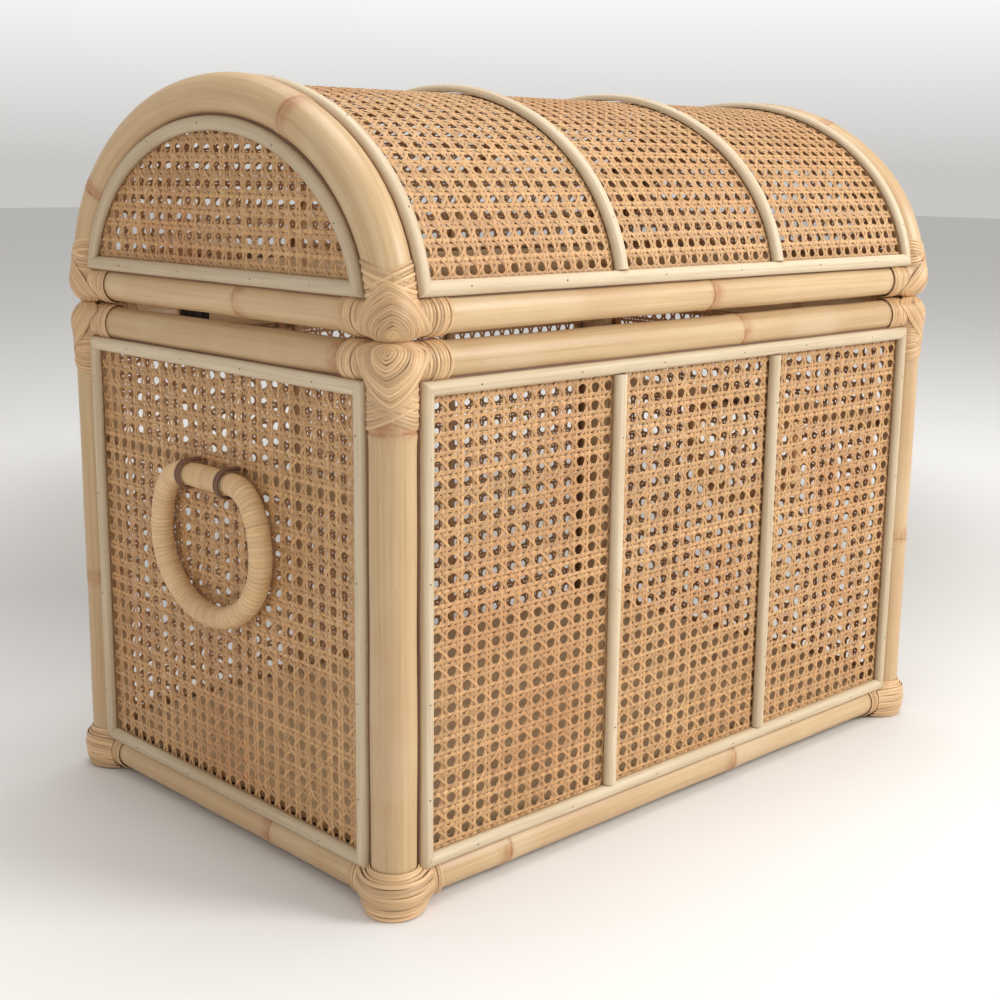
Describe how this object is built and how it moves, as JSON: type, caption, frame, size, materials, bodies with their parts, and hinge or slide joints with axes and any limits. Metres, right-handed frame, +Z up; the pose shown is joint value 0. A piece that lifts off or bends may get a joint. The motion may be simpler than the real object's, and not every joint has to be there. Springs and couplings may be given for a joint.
{
  "type": "wicker storage trunk",
  "caption": "Rattan storage trunk with cane webbing sides, a hinged barrel lid and a ring handle on each end.",
  "frame": {"origin": "on the floor, under the middle of the trunk's bounding box", "axes": "+X along the trunk to its right end, +Y from the front to the hinged back, +Z up"},
  "size_m": [0.6266, 0.3915, 0.537],
  "materials": {
    "rattan_pole": "natural rattan pole, clear satin varnish",
    "peel_binding": "peeled rattan skin, wound in strands, satin",
    "cane_webbing": "six-way woven cane webbing, open holes, satin",
    "beading": "half-round rattan core, pale, nailed, satin",
    "floor_board": "thin plywood board, matt",
    "ring_wrap": "rattan ring wound with narrow peeled rattan, satin",
    "lashing": "dark brown thong, matt",
    "hinge_metal": "dark bronze steel"
  },
  "bodies": {
    "base": {"post_front_left": "rattan_pole", "post_front_right": "rattan_pole", "post_back_left": "rattan_pole", "post_back_right": "rattan_pole", "bottom_rail_front": "rattan_pole", "bottom_rail_back": "rattan_pole", "bottom_rail_left": "rattan_pole", "bottom_rail_right": "rattan_pole", "top_rail_front": "rattan_pole", "top_rail_back": "rattan_pole", "top_rail_left": "rattan_pole", "top_rail_right": "rattan_pole", "bottom_binding_front_left": "peel_binding", "bottom_binding_front_right": "peel_binding", "bottom_binding_back_left": "peel_binding", "bottom_binding_back_right": "peel_binding", "top_binding_front_left": "peel_binding", "top_binding_front_right": "peel_binding", "top_binding_back_left": "peel_binding", "top_binding_back_right": "peel_binding", "cane_panel_front": "cane_webbing", "cane_panel_back": "cane_webbing", "cane_panel_left": "cane_webbing", "cane_panel_right": "cane_webbing", "beading_front": "beading", "beading_back": "beading", "beading_left": "beading", "beading_right": "beading", "front_divider_left": "beading", "front_divider_right": "beading", "floor_board": "floor_board", "handle_bar_left": "rattan_pole", "handle_bar_right": "rattan_pole", "handle_lashing_left": "lashing", "handle_lashing_right": "lashing", "hinge_base_leaf_left": "hinge_metal", "hinge_base_leaf_right": "hinge_metal"},
    "lid": {"lid_rail_front": "rattan_pole", "lid_rail_back": "rattan_pole", "lid_rail_left": "rattan_pole", "lid_rail_right": "rattan_pole", "lid_arch_left": "rattan_pole", "lid_arch_right": "rattan_pole", "lid_binding_front_left": "peel_binding", "lid_binding_front_right": "peel_binding", "lid_binding_back_left": "peel_binding", "lid_binding_back_right": "peel_binding", "lid_cane_barrel": "cane_webbing", "lid_cane_left": "cane_webbing", "lid_cane_right": "cane_webbing", "lid_beading_barrel": "beading", "lid_beading_left": "beading", "lid_beading_right": "beading", "lid_rib_left": "beading", "lid_rib_right": "beading", "hinge_lid_leaf_left": "hinge_metal", "hinge_lid_leaf_right": "hinge_metal"},
    "ring_left": {"ring_handle_left": "ring_wrap"},
    "ring_right": {"ring_handle_right": "ring_wrap"}
  },
  "joints": [
    {"name": "lid_hinge", "type": "hinge", "parent": "base", "child": "lid", "pos_m": [0, 0.1942, 0.3735], "axis": [-1, 0, 0], "range_deg": [0, 100]},
    {"name": "left_ring_swing", "type": "hinge", "parent": "base", "child": "ring_left", "pos_m": [-0.3032, 0, 0.264], "axis": [0, 1, 0], "range_deg": [0, 150]},
    {"name": "right_ring_swing", "type": "hinge", "parent": "base", "child": "ring_right", "pos_m": [0.3032, 0, 0.264], "axis": [0, -1, 0], "range_deg": [0, 150]}
  ]
}
